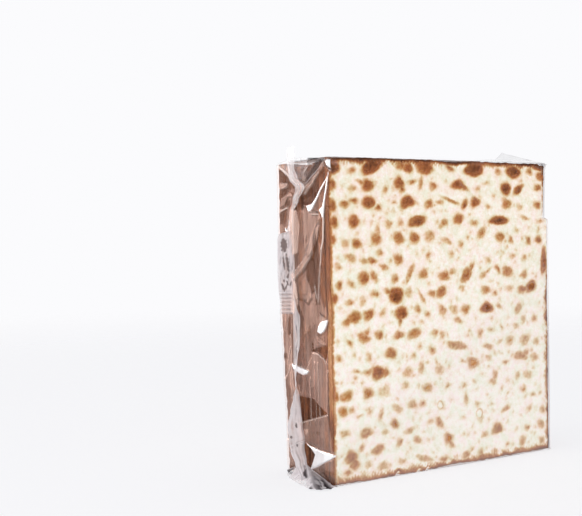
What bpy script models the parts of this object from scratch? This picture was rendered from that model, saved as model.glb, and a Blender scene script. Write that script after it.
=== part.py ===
"""A sealed clear wrap of ten baked matzo sheets that stand on edge, modelled as one closed solid.

Metres, +Z up. X runs along a sheet's width, Y through the stack, and the front sheet faces -Y.
The solid is the wrap's outer form: the ridges of the sheets' edges, the tucks at both ends,
the end seals folded towards the back, and the loose ears of film at their tops and feet.
"""

import math
import random

import bmesh
import bpy
from mathutils import Matrix, Vector

# Driving dimensions
SHEET_WIDTH = 0.1585
SHEET_HEIGHT = 0.1776
SHEET_COUNT = 10
SHEET_PITCH = 0.00527
RIDGE_HEIGHT = 0.0011
SHEET_STAGGER = 0.0006
ROUNDING = 0.0012
FACE_ROUNDING = 0.0008

# The sheets' faces swell and dip a little over the stack
FACE_WAVE = 0.0004
WAVES_ACROSS = 1.4
WAVES_UP = 1.1

# The triangles where the film is tucked in, above and below each end's middle
TUCK_LIFT = 0.0008
TUCK_EDGE = 0.004

# The end seals, strips that run up the ends and are folded towards the back
SEAL_PLACE = 0.0045
SEAL_TENT = 0.0024
SEAL_TENT_SPREAD = 0.009
SEAL_WIDTH = 0.0095
SEAL_THICKNESS = 0.0012
SEAL_STAND_DEG = 30.0
SEAL_ROOT = 0.002
SEAL_CLEARANCE = 0.0007
SEAL_WAVE = 0.0008
SEAL_WAVES_OUT = 2.1
SEAL_WAVES_BACK = 1.6
SEAL_STEPS = 24

# The loose ears of film at the seals' tops and feet
EAR_SINK = 0.002
EAR_SKIN = 0.0012
TOP_EAR_SPREAD = 0.015
TOP_EAR_RISE = 0.012
TOP_EAR_RUN = 0.012
TOP_EAR_CREST = 0.006
FOOT_EAR_SPREAD = 0.022
FOOT_EAR_REACH = 0.015
FOOT_EAR_RISE = 0.018
FOOT_TIP_PLACE = -0.006
FOOT_TIP_HALF = 0.007
FOOT_TIP_RISE = 0.003

WIDTH_CELLS = 8
CELLS_PER_SHEET = 4
HEIGHT_CELLS = 18
SAME_PLACE = 1e-6
SEED = 7

# Sizes that follow from them
STACK_DEPTH = SHEET_COUNT * SHEET_PITCH
HALF_WIDTH = SHEET_WIDTH / 2
HALF_DEPTH = STACK_DEPTH / 2
FULL_TURN = 2 * math.pi


def clear_scene():
    for item in list(bpy.data.objects):
        bpy.data.objects.remove(item, do_unlink=True)


def principled(name, color, roughness):
    material = bpy.data.materials.new(name)
    material.use_nodes = True
    shader = material.node_tree.nodes["Principled BSDF"]
    shader.inputs["Base Color"].default_value = (*color, 1.0)
    shader.inputs["Roughness"].default_value = roughness
    shader.inputs["Metallic"].default_value = 0.0
    return material


def smooth_step(value):
    """0 below 0, 1 above 1, and a smooth rise between."""
    value = min(1.0, max(0.0, value))
    return value * value * (3.0 - 2.0 * value)


def stations(low, high, cells):
    """The places of the planes that cut a length into equal cells."""
    return [low + (high - low) * i / cells for i in range(1, cells)]


def box_of_cells():
    """A closed box of the stack's size on z = 0, cut into cells on every face."""
    bm = bmesh.new()
    size = Matrix.Diagonal((SHEET_WIDTH, STACK_DEPTH, SHEET_HEIGHT, 1.0))
    middle = Matrix.Translation((0, 0, SHEET_HEIGHT / 2))
    bmesh.ops.create_cube(bm, size=1.0, matrix=middle @ size)
    along_x = stations(-HALF_WIDTH, HALF_WIDTH, WIDTH_CELLS)
    along_y = stations(-HALF_DEPTH, HALF_DEPTH, SHEET_COUNT * CELLS_PER_SHEET)
    along_z = [ROUNDING, *stations(0.0, SHEET_HEIGHT, HEIGHT_CELLS)]
    for axis, places in enumerate((along_x, along_y, along_z)):
        normal = Vector((0, 0, 0))
        normal[axis] = 1.0
        for place in places:
            parts = bm.verts[:] + bm.edges[:] + bm.faces[:]
            bmesh.ops.bisect_plane(
                bm, geom=parts, dist=SAME_PLACE / 10, plane_co=normal * place, plane_no=normal
            )
    return bm


def sheet_offsets(rng):
    """How far each sheet's edge stands out of line with the others."""
    return [rng.uniform(-SHEET_STAGGER, SHEET_STAGGER) for _ in range(SHEET_COUNT)]


def ridge(y, offsets):
    """The film's height over the sheets' edges: a crest on each sheet, a groove between two."""
    place = (y + HALF_DEPTH) / SHEET_PITCH
    crest = 0.5 - 0.5 * math.cos(FULL_TURN * place)
    index = min(SHEET_COUNT - 1, max(0, int(place)))
    return crest * (RIDGE_HEIGHT + offsets[index])


def tent(y):
    """How far the film stands off the sheets' edges where it runs up to an end seal."""
    return SEAL_TENT * max(0.0, 1.0 - abs(y - SEAL_PLACE) / SEAL_TENT_SPREAD)


def tuck(y, z):
    """The raised, doubled film in the two triangles where an end is tucked in."""
    beside = abs(y - SEAL_PLACE)
    under_top = HALF_DEPTH - beside - (SHEET_HEIGHT - z)
    over_foot = HALF_DEPTH - beside - z
    return TUCK_LIFT * smooth_step(max(under_top, over_foot) / TUCK_EDGE)


def face_dip(x, z):
    """How far the film on a broad face lies inside the stack's full depth."""
    across = math.sin(FULL_TURN * WAVES_ACROSS * x / SHEET_WIDTH)
    up = math.sin(FULL_TURN * WAVES_UP * z / SHEET_HEIGHT)
    return FACE_WAVE * (0.5 + 0.5 * across * up)


def shape_wrap(bm, rng):
    """Moves the box's points out to the wrap's form, and draws its corners in a little."""
    ends = {-1: sheet_offsets(rng), 1: sheet_offsets(rng)}
    top = sheet_offsets(rng)
    for vert in bm.verts:
        x, y, z = vert.co
        on_end = abs(abs(x) - HALF_WIDTH) < SAME_PLACE
        on_face = abs(abs(y) - HALF_DEPTH) < SAME_PLACE
        on_top = abs(z - SHEET_HEIGHT) < SAME_PLACE
        on_foot = abs(z) < SAME_PLACE
        side = 1 if x > 0 else -1
        if on_end and (on_face or on_top or on_foot):
            vert.co.x -= side * ROUNDING
        elif on_end:
            vert.co.x += side * (max(ridge(y, ends[side]), tent(y)) + tuck(y, z))
        elif on_face:
            inward = FACE_ROUNDING if on_top or on_foot else face_dip(x, z)
            vert.co.y -= math.copysign(inward, y)
        elif on_top:
            vert.co.z += ridge(y, top)


def grown_ear(points):
    """A closed tapered lump of film: the hull round a few points."""
    bm = bmesh.new()
    for point in points:
        bm.verts.new(point)
    bmesh.ops.convex_hull(bm, input=bm.verts[:])
    bmesh.ops.recalc_face_normals(bm, faces=bm.faces[:])
    return bm


def top_ear(side):
    """The peak of loose film that an end seal makes above the stack's top."""
    low = SHEET_HEIGHT - EAR_SINK
    crest = SHEET_HEIGHT + TOP_EAR_RISE
    return grown_ear(
        [
            (side * (HALF_WIDTH - TOP_EAR_RUN), SEAL_PLACE, low),
            (side * (HALF_WIDTH - EAR_SINK), SEAL_PLACE - TOP_EAR_SPREAD, low),
            (side * (HALF_WIDTH - EAR_SINK), SEAL_PLACE + TOP_EAR_SPREAD, low),
            (side * (HALF_WIDTH + EAR_SKIN), SEAL_PLACE, low - EAR_SINK),
            (side * HALF_WIDTH, SEAL_PLACE, crest),
            (side * (HALF_WIDTH + EAR_SKIN), SEAL_PLACE + TOP_EAR_CREST, crest - EAR_SKIN),
        ]
    )


def foot_ear(side):
    """The loose film that an end seal spreads on the surface the stack stands on."""
    inner = side * (HALF_WIDTH - EAR_SINK)
    tip = side * (HALF_WIDTH + FOOT_EAR_REACH)
    return grown_ear(
        [
            (inner, -FOOT_EAR_SPREAD, 0.0),
            (inner, FOOT_EAR_SPREAD, 0.0),
            (inner, SEAL_PLACE, FOOT_EAR_RISE),
            (tip, FOOT_TIP_PLACE - FOOT_TIP_HALF, 0.0),
            (tip, FOOT_TIP_PLACE + FOOT_TIP_HALF, 0.0),
            (tip, FOOT_TIP_PLACE, FOOT_TIP_RISE),
        ]
    )


def seal_blade(side):
    """An end seal: a thin strip up the end's middle, folded towards the back, a little wavy."""
    bm = bmesh.new()
    low = SEAL_CLEARANCE
    high = SHEET_HEIGHT + SEAL_THICKNESS
    length = SEAL_ROOT + SEAL_WIDTH
    corners = [(0, 0), (length, 0), (length, SEAL_THICKNESS), (0, SEAL_THICKNESS)]
    first = bm.faces.new([bm.verts.new((along, across, low)) for along, across in corners])
    upper = first
    for _ in range(SEAL_STEPS):
        made = bmesh.ops.extrude_face_region(bm, geom=[upper])
        if upper is not first:
            bm.faces.remove(upper)
        verts = [g for g in made["geom"] if isinstance(g, bmesh.types.BMVert)]
        upper = next(g for g in made["geom"] if isinstance(g, bmesh.types.BMFace))
        bmesh.ops.translate(bm, verts=verts, vec=(0, 0, (high - low) / SEAL_STEPS))
    for vert in bm.verts:
        wave = vert.co.x / length * SEAL_WAVE
        phase = FULL_TURN * vert.co.z / SHEET_HEIGHT
        vert.co.x += wave * math.sin(SEAL_WAVES_OUT * phase + side)
        vert.co.y += wave * math.sin(SEAL_WAVES_BACK * phase - side)
    turn = Matrix.Rotation(math.radians(90.0 - SEAL_STAND_DEG), 4, "Z")
    root = Matrix.Translation((HALF_WIDTH + SEAL_TENT - SEAL_ROOT, SEAL_PLACE, 0.0))
    mirror = Matrix.Diagonal((side, 1.0, 1.0, 1.0))
    bmesh.ops.transform(bm, matrix=mirror @ root @ turn, verts=bm.verts[:])
    bmesh.ops.recalc_face_normals(bm, faces=bm.faces[:])
    return bm


def as_object(name, bm):
    """An object of flat triangles, which unite more cleanly than bent four-sided faces."""
    bmesh.ops.triangulate(bm, faces=bm.faces[:])
    mesh = bpy.data.meshes.new(name)
    bm.to_mesh(mesh)
    bm.free()
    item = bpy.data.objects.new(name, mesh)
    bpy.context.scene.collection.objects.link(item)
    return item


def join_to(target, guide):
    """Unites the hidden guide's shape with the target."""
    guide.hide_render = True
    guide.display_type = "WIRE"
    union = target.modifiers.new("with_" + guide.name, "BOOLEAN")
    union.operation = "UNION"
    union.solver = "EXACT"
    union.object = guide


def build_wrapped_stack():
    bm = box_of_cells()
    shape_wrap(bm, random.Random(SEED))
    stack = as_object("wrapped_stack", bm)
    stack.data.materials.append(principled("baked_matzo_in_film", (0.62, 0.44, 0.28), 0.35))
    for side, word in ((-1, "left"), (1, "right")):
        join_to(stack, as_object("top_ear_" + word, top_ear(side)))
        join_to(stack, as_object("foot_ear_" + word, foot_ear(side)))
        join_to(stack, as_object("seal_" + word, seal_blade(side)))
    return stack


clear_scene()
build_wrapped_stack()
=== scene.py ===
import math
import random

import bmesh
import bpy
import numpy as np
from mathutils import Matrix, Vector


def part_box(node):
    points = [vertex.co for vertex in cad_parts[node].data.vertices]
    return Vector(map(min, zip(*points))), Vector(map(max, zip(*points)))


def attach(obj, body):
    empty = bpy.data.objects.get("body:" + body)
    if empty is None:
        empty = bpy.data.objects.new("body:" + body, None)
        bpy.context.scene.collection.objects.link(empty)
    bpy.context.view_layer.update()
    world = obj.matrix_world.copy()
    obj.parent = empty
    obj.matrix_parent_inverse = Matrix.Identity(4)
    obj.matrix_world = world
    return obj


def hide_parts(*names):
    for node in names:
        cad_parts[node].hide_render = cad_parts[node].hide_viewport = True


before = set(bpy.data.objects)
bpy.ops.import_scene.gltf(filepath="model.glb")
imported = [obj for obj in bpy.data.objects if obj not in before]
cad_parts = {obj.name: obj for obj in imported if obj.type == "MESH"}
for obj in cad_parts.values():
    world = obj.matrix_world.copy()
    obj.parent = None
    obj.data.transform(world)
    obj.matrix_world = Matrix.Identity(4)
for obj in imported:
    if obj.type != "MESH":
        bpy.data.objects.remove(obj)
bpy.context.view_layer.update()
stackLow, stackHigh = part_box("wrapped_stack")

# lengths are in metres, and in mm where a note says so
mm = 0.001
fullTurn = 2 * math.pi
fullerLeft = 1.25    # mm that the sheets stand right of the middle, as more loose film hangs on the left
stackMiddle = (stackLow + stackHigh) / 2 + Vector((fullerLeft, 0, 0)) * mm


def linear(hexCode):
    # sRGB hex to the linear colour that shaders use
    shares = [int(hexCode[i:i + 2], 16) / 255 for i in (1, 3, 5)]
    return [s / 12.92 if s <= 0.04045 else ((s + 0.055) / 1.055) ** 2.4 for s in shares] + [1.0]


def addNode(tree, kind, settings=None, inputs=None):
    # adds a node, sets its properties, and fills or links its inputs
    made = tree.nodes.new(kind)
    for key, value in (settings or {}).items():
        setattr(made, key, value)
    for key, value in (inputs or {}).items():
        if isinstance(value, bpy.types.NodeSocket):
            tree.links.new(value, made.inputs[key])
        else:
            made.inputs[key].default_value = value
    return made


def newMaterial(name):
    made = bpy.data.materials.new(name)
    made.use_nodes = True
    made.node_tree.nodes.clear()
    return made, made.node_tree


def fillRamp(ramp, stops):
    # stops are (place, hex code) from low to high
    elements = ramp.color_ramp.elements
    while len(elements) < len(stops):
        elements.new(0.5)
    for element, (share, hexCode) in zip(elements, stops):
        element.position = share
    for element, (share, hexCode) in zip(elements, stops):
        element.color = linear(hexCode)


def smooth(low, high, value):
    # eases from 0 at low to 1 at high
    share = np.clip((value - low) / (high - low), 0, 1)
    return share * share * (3 - 2 * share)


def blend(value, target, share):
    return value + (target - value) * share


def bell(away, wide):
    # 1 where away is 0, fading to 0 on both sides
    return np.exp(-(away / wide) ** 2)


def fallBack(toEdge, radius):
    # how far a rounded edge falls back from a square one
    return radius - np.sqrt(np.maximum(radius ** 2 - np.maximum(radius - toEdge, 0) ** 2, 0))


def waves(across, up, length, seed, count=9):
    # a seeded, cloudy field of about -1 to 1 whose lumps are about half a length wide, summed from plain
    # waves that run every way
    chance = random.Random(seed)
    total = 0
    for i in range(count):
        turn = fullTurn * (i + chance.random()) / count
        pull = fullTurn / length * chance.uniform(0.6, 1.5)
        phase = chance.uniform(0, fullTurn)
        total = total + np.cos((across * math.cos(turn) + up * math.sin(turn)) * pull + phase)
    return total / math.sqrt(count * 1.6)


def softened(value, marks, levels):
    # levels at marks, joined by eased steps
    marks, levels = np.array(marks, float), np.array(levels, float)
    spot = np.clip(np.searchsorted(marks, value) - 1, 0, len(marks) - 2)
    share = smooth(0, 1, (value - marks[spot]) / (marks[spot + 1] - marks[spot]))
    return blend(levels[spot], levels[spot + 1], share)


def places(mesh):
    found = np.empty(len(mesh.vertices) * 3, np.float32)
    mesh.vertices.foreach_get("co", found)
    return found.reshape(-1, 3).astype(float)


def setPlaces(mesh, found):
    mesh.vertices.foreach_set("co", found.astype(np.float32).ravel())
    mesh.update()


def setField(mesh, name, values):
    field = mesh.attributes.new(name, "FLOAT", "POINT")
    field.data.foreach_set("value", values.astype(np.float32))


def addObject(name, data):
    made = bpy.data.objects.new(name, data)
    bpy.context.scene.collection.objects.link(made)
    return made


def meshObject(bm, name, material):
    mesh = bpy.data.meshes.new(name)
    bm.to_mesh(mesh)
    bm.free()
    mesh.materials.append(material)
    return addObject(name, mesh)


def finishPiece(bm, name, material):
    piece = meshObject(bm, name, material)
    piece.data.shade_smooth()
    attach(piece, "root")
    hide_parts("wrapped_stack")
    return piece


# Dough rolled thin, docked with rows of pins and baked in a few minutes on a hot belt: a dry cream
# face, bubbles between the pin rows that toast first, and browned rims where the heat reaches round.
matzo = {
    "toastColours": [(0.0, "#f9f5ef"), (0.13, "#f0e4d2"), (0.27, "#e3caa8"), (0.41, "#d0aa80"),
                     (0.56, "#b98250"), (0.72, "#9e5f37"), (0.86, "#7c4829"), (1.0, "#522e1b")],
    # faint pink, cream and green cast of the pale dough
    "tints": [(0.36, "#fff6f7"), (0.5, "#fffefb"), (0.64, "#f6f9ef")],
    # the dough's own unevenness: size, and how many octaves it has
    "noises": {"grain": (0.9 * mm, 3.0), "crumb": (2.6 * mm, 4.0), "mottle": (5.5 * mm, 3.0)},
    "browning": {"grain": (0.24, -0.12), "crumb": (0.36, -0.17)},    # gain and offset of each
    "bump": (0.5, 0.12 * mm),       # strength, and how deep the grain is
    "gloss": 0.25,
    "roughness": 0.86,
}


def matzoMaterial():
    made, tree = newMaterial("baked matzo dough")
    where = addNode(tree, "ShaderNodeTexCoord").outputs["Object"]
    toast = addNode(tree, "ShaderNodeAttribute", {"attribute_name": "toast"}).outputs["Fac"]
    noise = {}
    for name, (size, octaves) in matzo["noises"].items():
        noise[name] = addNode(tree, "ShaderNodeTexNoise", {}, {
            "Vector": where, "Scale": 1 / size, "Detail": octaves, "Roughness": 0.6}).outputs["Fac"]
    fine, broad = (addNode(tree, "ShaderNodeMath", {"operation": "MULTIPLY_ADD"}, {
        0: noise[name], 1: gain, 2: offset}) for name, (gain, offset) in matzo["browning"].items())
    uneven = addNode(tree, "ShaderNodeMath", {"operation": "ADD"}, {
        0: fine.outputs[0], 1: broad.outputs[0]})
    browned = addNode(tree, "ShaderNodeMath", {"operation": "ADD", "use_clamp": True}, {
        0: toast, 1: uneven.outputs[0]})
    ramp = addNode(tree, "ShaderNodeValToRGB", {}, {"Fac": browned.outputs[0]})
    fillRamp(ramp, matzo["toastColours"])
    tint = addNode(tree, "ShaderNodeValToRGB", {}, {"Fac": noise["mottle"]})
    fillRamp(tint, matzo["tints"])
    colour = addNode(tree, "ShaderNodeMix", {"data_type": "RGBA", "blend_type": "MULTIPLY"}, {
        "Factor": 1.0, 6: ramp.outputs["Color"], 7: tint.outputs["Color"]})
    strength, depth = matzo["bump"]
    bump = addNode(tree, "ShaderNodeBump", {}, {
        "Height": noise["grain"], "Strength": strength, "Distance": depth})
    shader = addNode(tree, "ShaderNodeBsdfPrincipled", {}, {
        "Base Color": colour.outputs[2], "Roughness": matzo["roughness"],
        "Specular IOR Level": matzo["gloss"], "Normal": bump.outputs["Normal"]})
    addNode(tree, "ShaderNodeOutputMaterial", {}, {"Surface": shader.outputs["BSDF"]})
    return made


sheet = {
    "width": 161.0 * mm,
    "height": 177.6 * mm,
    "count": 10,
    "thickness": 5.1 * mm,
    "edgeRound": 1.3 * mm,
    "faceSpacing": 0.56 * mm,       # between the points of a face that shows
    "innerSpacing": 1.3 * mm,       # and of one that is hidden
    "rimRows": 6,                   # rows of faces round a sheet's edge
    "inset": 0.9,                   # mm from the wrap's front and back to a sheet's face
    "offFloor": 0.4,                # mm of film and slack under the stack
    "slip": (0.6, 0.4),             # mm that a sheet may stand aside and up
    "pinPitch": (6.1, 5.2),         # mm between docking pins, across and down
    "pinDepth": 0.28,
    # mm that its right edge stands out at the top, and how that changes with each mm down, for a whole
    # sheet, and for the front one where a strip has snapped off, down to snappedTo
    "rightEdge": (0.8, -0.007),
    "snappedEdge": (-1, -0.06),
    "snappedTo": 33.6,
    # mm that the last sheet stands back from its place in a tight stack: mm up, then how far
    "lean": ([0, 25, 55, 95, 150, 180], [-2, -1.2, 1.2, 3.2, 4, 4.2]),
    # how deep in mm and how toasted the left, right, top and foot rims are on a face that shows
    "faceRims": [(1.5, 0.7), (3.9, 1.0), (3.8, 1.03), (5.4, 0.94)],
    "innerRims": [(9, 1.1)] * 4,
    "paleRim": (34, 104, 0.26),     # the front sheet's left rim is paler between these mm up: by how much
    # how browned the front's right rim is: mm up, then the share of the rim's own depth and strength
    "rightRim": ([0, 16, 96, 112, 126, 143, 147, 160, 178],
                 [1.5, 1.05, 1.05, 0.7, 0.25, 0.25, 0.7, 0.8, 1.9]),
    "frontRimTone": 0.8,            # how toasted the front sheet's rim is on its outer side
    "rimTone": (0.915, 0.03),       # and the rims behind it: mean and spread
    "rimTones": [0, -0.1, 0.1, 0.06, 0, 0, 0.05, 0.05, 0.05, 0.05],    # and what each differs by
    "worn": [0, 0.4, 1.6, 2.8, 3.8, 3, 2.2, 1.1, 0, 0],    # mm lost from each sheet's top left corner
    "wornOver": ((70, 8), (100, 170)),    # mm from the left and mm up over which that grows
    "edgeBand": 7,                  # mm in from the right edge that moves with it
    "clearOfWrap": 0.9,             # mm that the right edges behind the front one are set in
}

halfWidth = sheet["width"] / 2 / mm
halfDepth = (stackHigh.y - stackLow.y) / 2 / mm
stackHeight = sheet["height"] / mm + sheet["offFloor"]

# The bubbles that stand out, row by row from the top, each as
# (mm from the left, mm from the top, long mm, wide mm, tilt in degrees, how toasted)
frontBubbles = [
    (1.5, 5, 9, 7, 20, .87), (28, 4, 13, 7, 20, .85), (48, 3.2, 6, 4, 0, .6), (53, 4.2, 6, 5.6, 0, .68),
    (65, 3.8, 11.5, 7, 0, .74), (83.5, 4, 5.5, 3, -30, .66), (102.5, 4, 14.5, 7.4, 10, .84),
    (133.5, 5.4, 10.5, 6.6, -6, .85), (147, 4.8, 4, 4, 0, .55), (14.5, 6.6, 4, 3.2, 20, .5),
    (157, 8, 5, 9, 80, .7), (154.5, 2, 10, 3.6, -8, .86),
    (.8, 14.5, 5, 5.6, 0, .66), (24.8, 14.6, 7, 6.2, 0, .7), (20.6, 13, 5, 2.4, -20, .5),
    (46.6, 13, 6, 6.2, 0, .7), (48.6, 16.6, 3.4, 3.4, 0, .6), (55.5, 12.4, 5, 2.2, 12, .52),
    (62, 13.2, 5.8, 2.8, 82, .52), (71, 14.6, 4.4, 4, 0, .56), (89.5, 13.6, 8, 5.4, 0, .74),
    (94, 14.6, 6, 2.6, -35, .7), (127.3, 15.6, 6.8, 6.8, 0, .84), (137.3, 16, 7.6, 4.2, 35, .75),
    (153.6, 14.7, 5.4, 3.6, 0, .62), (14.8, 16.6, 4.8, 3.4, 0, .36), (112, 12.3, 4, 2, 0, .3),
    (1, 25.6, 5.4, 6, 0, .68), (9.6, 25, 4.8, 3.6, 0, .62), (15.7, 23.1, 4.8, 2.9, 0, .56),
    (25.4, 24, 7.4, 6.4, 0, .74), (32, 27, 4, 3.2, 0, .6), (52.2, 23.8, 8.8, 6.4, 12, .77),
    (68, 24.8, 5, 4.4, 0, .56), (84.5, 23, 11, 2.1, -18, .52), (76, 23.6, 4.4, 2.2, 0, .45),
    (94.3, 25, 5.4, 3.6, 60, .68), (102.4, 23.7, 6.4, 5.4, 10, .7), (127.7, 24.6, 6.6, 5.4, 0, .56),
    (138.5, 26.6, 4, 3.4, 0, .35), (153.4, 25.4, 5.4, 3.8, 0, .6),
    (1.9, 34.8, 5.6, 5.4, 0, .68), (15.4, 34.4, 7, 5.8, 35, .7), (38.9, 36, 4.4, 3.6, 0, .4),
    (59, 34.6, 11.6, 5.4, 14, .76), (78.6, 36, 5.6, 3.8, 20, .5),
    (89.6, 33.6, 6.2, 5.6, 0, .65), (101.7, 36.1, 4.2, 3.4, 0, .48), (121.4, 34.6, 11.8, 5.2, 5, .84),
    (143, 33.2, 5, 2.2, -20, .45),
    (.4, 44, 4.8, 5, 0, .62), (9.6, 46.4, 4.4, 3.8, 0, .38), (17, 46.6, 5.4, 4.8, 0, .66),
    (30, 44.3, 7, 5.6, 10, .56), (31.4, 39.8, 6, 3.2, 80, .38), (45.8, 44, 6.6, 6.2, 0, .6),
    (56.9, 44.2, 6.6, 5.2, 0, .63), (67.8, 43.2, 6.2, 5.8, 50, .42), (80.6, 46.3, 6.6, 3.2, -20, .4),
    (91.4, 48.6, 3.4, 3.2, 0, .45), (107.2, 42, 7, 4.8, 42, .5), (122, 44.5, 6.2, 5.4, 0, .56),
    (145.2, 47.1, 4.2, 4, 0, .6), (153.6, 46.8, 4.6, 3.8, 20, .7),
    (12.8, 54.3, 6.6, 3.8, -20, .46), (21.8, 56.2, 5, 2.9, 0, .46), (27, 56.3, 5.4, 3.2, 0, .6),
    (45.2, 56, 6.2, 4.9, 0, .58), (35, 60, 5, 3, -25, .5), (32.3, 51.8, 3.4, 3.6, 60, .48),
    (83.6, 53.8, 4, 3.2, 0, .36), (112, 58.2, 4.4, 3.6, 0, .34), (157.6, 60, 15, 4.2, 88, .72),
    (21.2, 65.6, 6.6, 6.4, 0, .66), (28, 64.9, 5.4, 4.2, -50, .54), (12.8, 68.5, 5.2, 2.6, -38, .44),
    (42.6, 66.8, 4.4, 4, 0, .52), (53.4, 64, 9.6, 3.3, 66, .5), (62.9, 64.8, 5.6, 5, 0, .56),
    (78.2, 66.4, 7, 5.2, 0, .56), (84.6, 64, 5, 2.8, 20, .44), (95, 66.4, 9, 5.6, 48, .64),
    (98.4, 62.6, 7, 2.8, 58, .56), (108, 67, 5, 3.2, 20, .44), (112, 64.6, 5, 1.8, 40, .38),
    (119.8, 63.8, 5, 3, -40, .54), (127.7, 65.5, 7.4, 6, 0, .56), (141, 67.8, 5, 3.8, 20, .5),
    (.6, 76, 5.4, 5.4, 0, .7), (43.2, 76.1, 8.6, 8.4, 0, .85), (37.6, 73.8, 4.6, 2.4, -28, .6),
    (28.8, 74.8, 5.4, 3.2, -12, .5), (11.6, 78.6, 4, 3.6, 0, .5), (20.2, 78.3, 4.4, 4, 70, .36),
    (52.2, 75, 5, 4.6, 30, .36), (61.6, 78, 7.6, 2.2, -60, .44), (69, 76.2, 4.8, 3.4, 0, .52),
    (75.9, 75.6, 7.2, 5.2, 22, .64), (91.4, 74, 4.6, 2.6, -20, .4), (110, 75.9, 5.6, 4.6, -15, .55),
    (129.4, 75.7, 5.4, 3.6, 0, .33), (139.4, 76.8, 6.2, 4, 0, .62), (146.4, 75.4, 7.6, 6, 20, .76),
    (14.6, 86.8, 8.4, 5.8, 8, .64), (10, 89, 6, 3.6, 25, .58), (24, 86, 6.2, 5.2, 0, .66),
    (33.6, 85.6, 4.6, 3.2, 42, .4), (46.6, 86.2, 7.6, 6.4, 0, .78), (45.8, 90.6, 4.4, 2.6, 80, .62),
    (58.4, 84.6, 4.2, 3.8, 0, .54), (76.6, 86.4, 5.6, 5, -40, .44), (85.2, 86.2, 5.6, 4.4, 0, .4),
    (93.8, 86.8, 6, 4.6, 20, .54), (110.6, 86.6, 7.8, 5.8, 0, .82), (136.2, 88.4, 6.6, 4.2, 50, .46),
    (88.2, 92.6, 5.6, 3.2, -35, .46), (140, 95.3, 4.4, 3, 70, .4), (149.2, 95, 4, 3.6, 30, .5),
    (20.6, 98.6, 8, 4.6, -12, .55), (22.6, 95.6, 4.4, 3.4, 60, .5), (31, 97.6, 4.8, 4.4, 0, .6),
    (44.6, 98.6, 5.2, 4.4, 0, .6), (55.6, 98.4, 8.6, 5.2, 12, .56), (70.8, 98.9, 4.4, 3.4, 20, .46),
    (75.7, 100.6, 3.8, 3.4, 0, .46), (134, 99, 4, 3.4, 0, .34),
    (23.9, 109.2, 4.8, 3.2, -70, .4), (38.9, 108.3, 6.4, 5.8, 0, .64), (87, 107.5, 15, 4, -12, .52),
    (111.2, 109.8, 6.2, 3.2, -15, .46), (128.6, 107.3, 5.8, 5, 60, .42), (141.2, 107.6, 8.6, 5, 30, .42),
    (120.6, 107.2, 4.6, 1.8, 28, .34), (59.4, 106, 3, 3, 0, .34),
    (29.8, 118.4, 7.6, 6.8, 0, .78), (35, 119, 4.4, 4, 0, .62), (23, 117.6, 6, 2.9, 10, .52),
    (15.4, 116.6, 4.4, 2, -10, .4), (50.6, 120, 6.4, 4.4, 10, .42), (60.4, 118.2, 5.4, 4, 80, .42),
    (73.6, 120.4, 6, 4.6, -30, .38), (71.6, 116.4, 4.6, 1.8, -75, .3), (98.9, 118.5, 7.6, 6, 0, .52),
    (91.6, 116.8, 4, 1.8, -20, .38), (111, 116.4, 4.6, 2.6, 0, .36), (137.4, 117.6, 9.4, 4.8, -4, .52),
    (142, 115.8, 4.4, 3.6, 40, .5), (149, 119, 5.4, 4.4, -30, .44),
    (.6, 129.4, 4.6, 5, 0, .62), (8.2, 129.6, 7.6, 5.2, 0, .56), (22.8, 129.2, 6.4, 5.2, 0, .6),
    (34, 129.2, 7, 5.8, 0, .3), (48.8, 127.4, 3.8, 3.6, 0, .4), (64.2, 130, 6.6, 4.8, 10, .46),
    (116, 127.4, 5.8, 3.4, 75, .44), (114.4, 131, 5.4, 3.4, 0, .42), (142.8, 129.4, 6.8, 4.4, -10, .36),
    (5.6, 137.8, 6, 4.8, 0, .56), (11.6, 137.4, 3.4, 2.8, 0, .46), (23.4, 139, 4.8, 3.8, -30, .3),
    (31.2, 141.8, 6, 2.6, 80, .44), (42.8, 140, 6.4, 3.4, -30, .42), (53.8, 138.7, 5.4, 4.2, 0, .46),
    (60.8, 138.9, 3.8, 3.4, 20, .54), (93.2, 139.4, 5.4, 3.2, 85, .42), (139, 137.8, 4, 4, 0, .42),
    (6.8, 149.8, 5.2, 3.8, -10, .42), (21.2, 151.2, 7.2, 5.2, -8, .56), (40.6, 148.2, 4.4, 4.6, 40, .64),
    (34, 152, 3.2, 2.8, 0, .4), (51, 153.4, 6, 3, 10, .45), (66.6, 149.6, 4.6, 3, 20, .32),
    (73, 151.2, 6.6, 4.2, -50, .5), (124.4, 148.6, 6.6, 3, 22, .46), (143.8, 150.4, 4.4, 3.6, 40, .36),
    (10.8, 163, 6.6, 6.4, 40, .68), (13, 167.4, 6.4, 5, -50, .62), (18, 159, 4.6, 2.6, 50, .5),
    (28.9, 161.3, 7.6, 4.6, 20, .56), (43.9, 158.8, 3.8, 3.4, 30, .54), (56.8, 159.2, 5.2, 3.4, -35, .5),
    (79.4, 161, 5.4, 5.6, 0, .6), (81.8, 164.8, 4.8, 2.8, -50, .5), (107.4, 162.2, 4.8, 2.8, 0, .44),
    (117.6, 159.8, 7.6, 5.8, 0, .64), (142.2, 162, 4.4, 2.8, 0, .5), (153.6, 161, 5.6, 4, -40, .5),
    (32.3, 171, 5.6, 4.4, 0, .42), (45.4, 169.8, 5, 2.8, 0, .38), (61.4, 170.4, 10.6, 2.9, -14, .44),
    (76, 172.8, 5.4, 3.4, 0, .52), (92.6, 172.8, 6.4, 4, 30, .5), (97, 169.8, 4.4, 2.4, 30, .36),
    (138, 169.8, 6, 4.2, 45, .48), (8.6, 171.4, 4.4, 3.4, 0, .54), (22.4, 168.8, 3.6, 3.6, 0, .36),
]

# crumbs gone from the front sheet's foot: mm across, mm deep
nibbles = [(42.5, 1.3), (57.5, 0.7), (64, 1.0)]

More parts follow.
